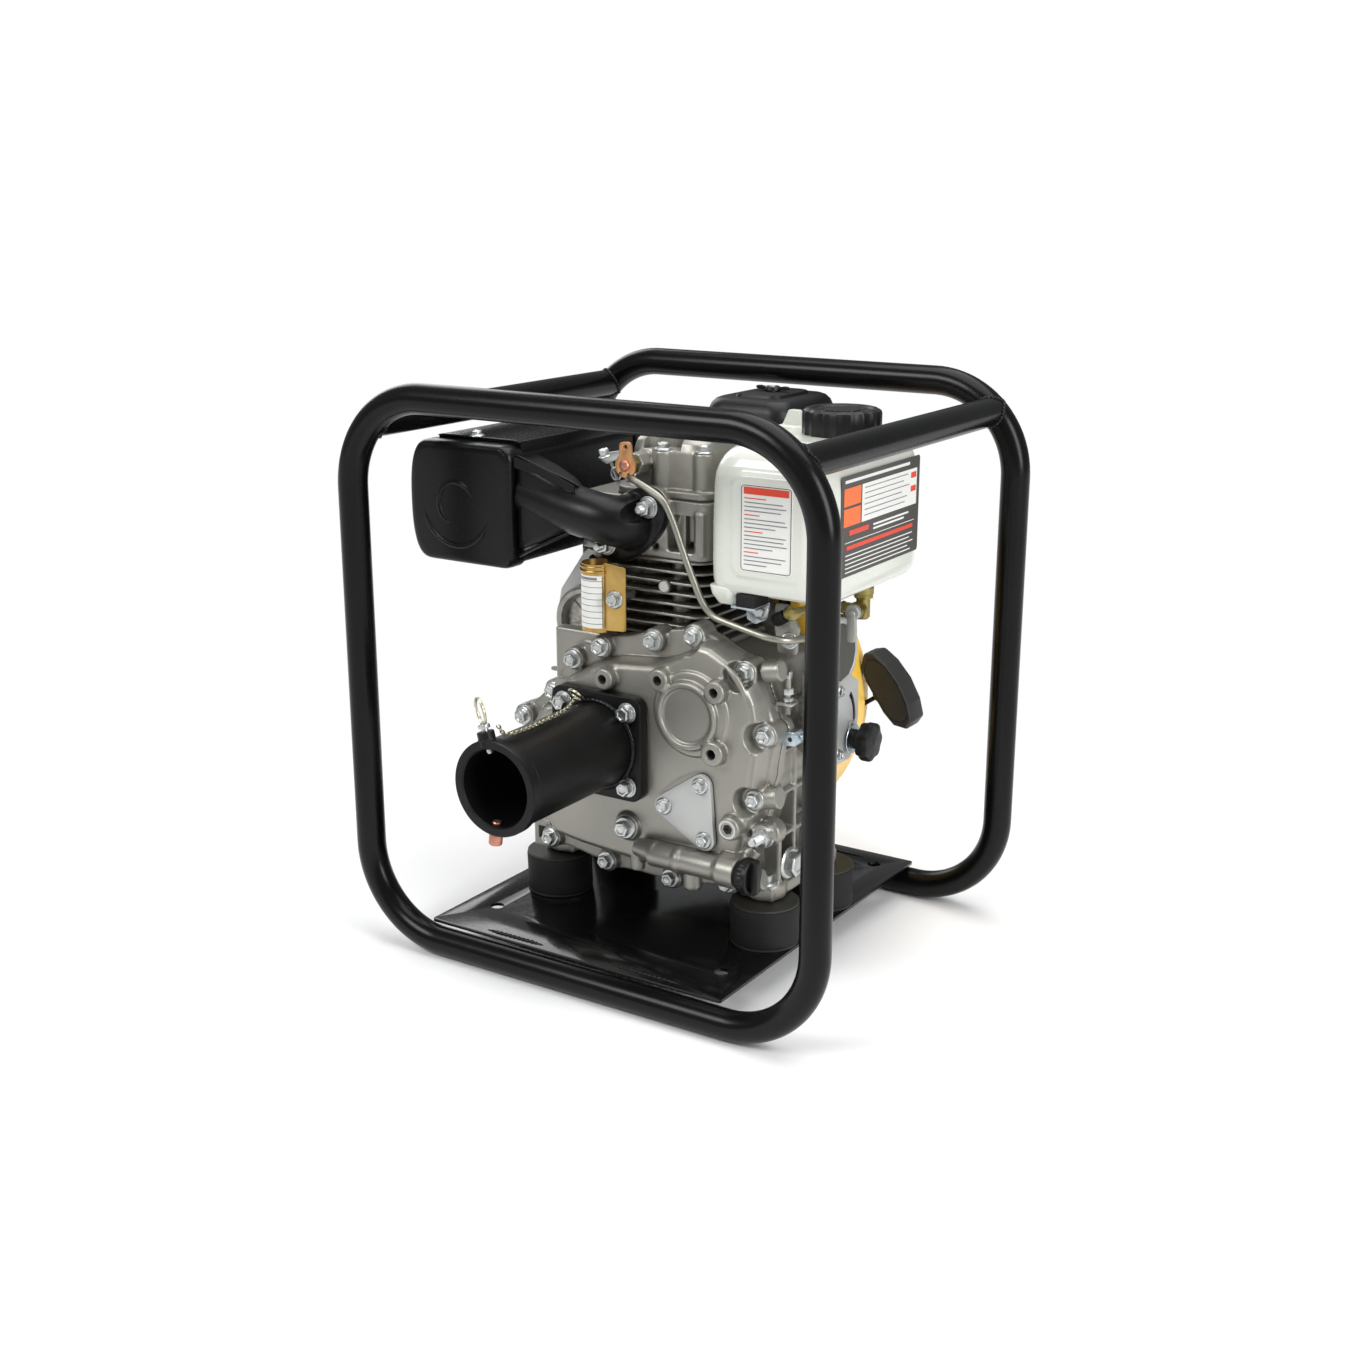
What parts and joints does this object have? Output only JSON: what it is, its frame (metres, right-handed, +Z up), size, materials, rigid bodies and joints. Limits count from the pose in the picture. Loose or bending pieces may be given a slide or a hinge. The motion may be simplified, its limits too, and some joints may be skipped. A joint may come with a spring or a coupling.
{
  "type": "portable fire pump drive unit",
  "caption": "Air-cooled diesel engine on rubber mounts in a tubular carrying cage, with a flanged coupling tube that drives a flexible-shaft fire pump.",
  "frame": {"origin": "on the ground under the centre of the overall box", "axes": "+X to the right along the front hoop seen from the take-off side, -Y towards the open end of the coupling tube, +Z up"},
  "size_m": [0.5064, 0.4574, 0.5332],
  "materials": {
    "frame_paint": "semi-gloss black",
    "cast_alloy": "as cast",
    "fin_alloy": "as cast, dark",
    "steel": "satin",
    "zinc": "bright zinc plated",
    "rubber": "matte",
    "black_plastic": "satin",
    "tank_paint": "gloss off-white",
    "yellow": "satin yellow",
    "grey_paint": "satin grey",
    "gold_zinc": "yellow zinc plated",
    "copper_zinc": "copper coloured plating",
    "brass": "satin",
    "hose": "translucent",
    "foam": "open cell foam"
  },
  "bodies": {
    "frame": {"front_hoop": "frame_paint", "rear_hoop": "frame_paint", "left_cross_tube": "frame_paint", "right_cross_tube": "frame_paint", "base_plate": "frame_paint", "mount_front_left": "rubber", "mount_front_right": "rubber", "mount_rear_left": "rubber", "mount_rear_right": "rubber", "crankcase": "cast_alloy", "crankcase_cover": "cast_alloy", "governor_plate": "grey_paint", "cover_hex_plug": "zinc", "filter_bolt": "zinc", "piston": "cast_alloy", "cylinder": "fin_alloy", "cylinder_head": "cast_alloy", "rocker_cover": "cast_alloy", "coupling_tube": "frame_paint", "flange_bolt_1": "zinc", "flange_bolt_2": "zinc", "flange_bolt_3": "zinc", "flange_bolt_4": "zinc", "pin_chain": "zinc", "exhaust_elbow": "frame_paint", "exhaust_nut_1": "zinc", "exhaust_nut_2": "zinc", "muffler": "frame_paint", "heat_shield": "frame_paint", "blower_housing": "grey_paint", "recoil_cover": "yellow", "fuel_tank": "tank_paint", "tank_bracket": "frame_paint", "petcock_body": "brass", "fuel_hose": "hose", "injection_pump": "cast_alloy", "injector_pipe": "steel", "zinc_bracket": "gold_zinc", "speed_plate": "zinc", "air_cleaner_base": "black_plastic", "air_filter": "foam"},
    "crank": {"crankshaft": "steel", "flywheel": "fin_alloy", "drive_dog": "steel"},
    "cam": {"camshaft": "steel"},
    "pull_handle": {"recoil_handle": "black_plastic"},
    "pulley": {"recoil_pulley": "black_plastic"},
    "filler_seal": {"cap_seal": "rubber"},
    "filler_cap": {"tank_cap": "black_plastic"},
    "fuel_lever": {"petcock_lever": "black_plastic"},
    "release": {"release_lever": "copper_zinc"},
    "throttle": {"speed_lever": "zinc"},
    "throttle_knob": {"speed_knob": "black_plastic"},
    "stick_seal": {"dipstick_seal": "rubber"},
    "stick": {"dipstick": "black_plastic"},
    "pin": {"lock_pin": "zinc"},
    "catch": {"plunger": "copper_zinc"},
    "filter_lid": {"air_cleaner_cover": "black_plastic"},
    "filter_nut": {"wing_nut": "zinc"}
  },
  "joints": [
    {"name": "crank_spin", "type": "hinge", "parent": "frame", "child": "crank", "pos_m": [-0.03, 0.03024, 0.21], "axis": [0, 1, 0], "continuous": true},
    {"name": "cam_spin", "type": "hinge", "parent": "frame", "child": "cam", "pos_m": [0.04, 0.03024, 0.2325], "axis": [0, 1, 0], "continuous": true},
    {"name": "handle_pull", "type": "slide", "parent": "frame", "child": "pull_handle", "axis": [0.8165, 0, 0.5774], "range_m": [0, 0.5], "stiffness_N_per_m": 12, "springref_m": -0.4},
    {"name": "pulley_spin", "type": "hinge", "parent": "frame", "child": "pulley", "pos_m": [-0.03, 0.17724, 0.21], "axis": [0, 1, 0], "range_deg": [-515, 0]},
    {"name": "cap_lift", "type": "slide", "parent": "frame", "child": "filler_seal", "axis": [0, 0, 1], "range_m": [0, 0.06]},
    {"name": "cap_turn", "type": "hinge", "parent": "filler_seal", "child": "filler_cap", "pos_m": [0.147, 0.04524, 0.5], "axis": [0, 0, 1], "range_deg": [0, 90]},
    {"name": "fuel_cock", "type": "hinge", "parent": "frame", "child": "fuel_lever", "pos_m": [0.17, 0.03024, 0.336], "axis": [0, 1, 0], "range_deg": [-90, 90]},
    {"name": "release_turn", "type": "hinge", "parent": "frame", "child": "release", "pos_m": [-0.016, -0.04776, 0.46], "axis": [0, 1, 0], "range_deg": [-60, 0], "stiffness_Nm_per_rad": 0.05, "springref_deg": 11.46},
    {"name": "throttle_turn", "type": "hinge", "parent": "frame", "child": "throttle", "pos_m": [0.152, 0.07024, 0.206], "axis": [1, 0, 0], "range_deg": [-20, 20]},
    {"name": "knob_turn", "type": "hinge", "parent": "throttle", "child": "throttle_knob", "pos_m": [0.16, 0.07024, 0.206], "axis": [1, 0, 0], "continuous": true},
    {"name": "dipstick_pull", "type": "slide", "parent": "frame", "child": "stick_seal", "axis": [1, 0, 0], "range_m": [0, 0.09]},
    {"name": "dipstick_turn", "type": "hinge", "parent": "stick_seal", "child": "stick", "pos_m": [0.1245, -0.07776, 0.116], "axis": [1, 0, 0], "continuous": true},
    {"name": "pin_pull", "type": "slide", "parent": "frame", "child": "pin", "axis": [-0.2616, 0, 0.9652], "range_m": [0, 0.022]},
    {"name": "catch_press", "type": "slide", "parent": "frame", "child": "catch", "axis": [-0.1391, 0, -0.9903], "range_m": [0, 0.006], "stiffness_N_per_m": 400, "springref_m": -0.003},
    {"name": "lid_lift", "type": "slide", "parent": "frame", "child": "filter_lid", "axis": [0, 0, 1], "range_m": [0, 0.06]},
    {"name": "nut_turn", "type": "hinge", "parent": "filter_lid", "child": "filter_nut", "pos_m": [0.02, 0.14524, 0.51], "axis": [0, 0, 1], "continuous": true}
  ],
  "couplings": [
    {"joint": "cam_spin", "follows": "crank_spin", "ratio": -0.5},
    {"joint": "pulley_spin", "follows": "handle_pull", "rad_per_m": -17.9}
  ]
}
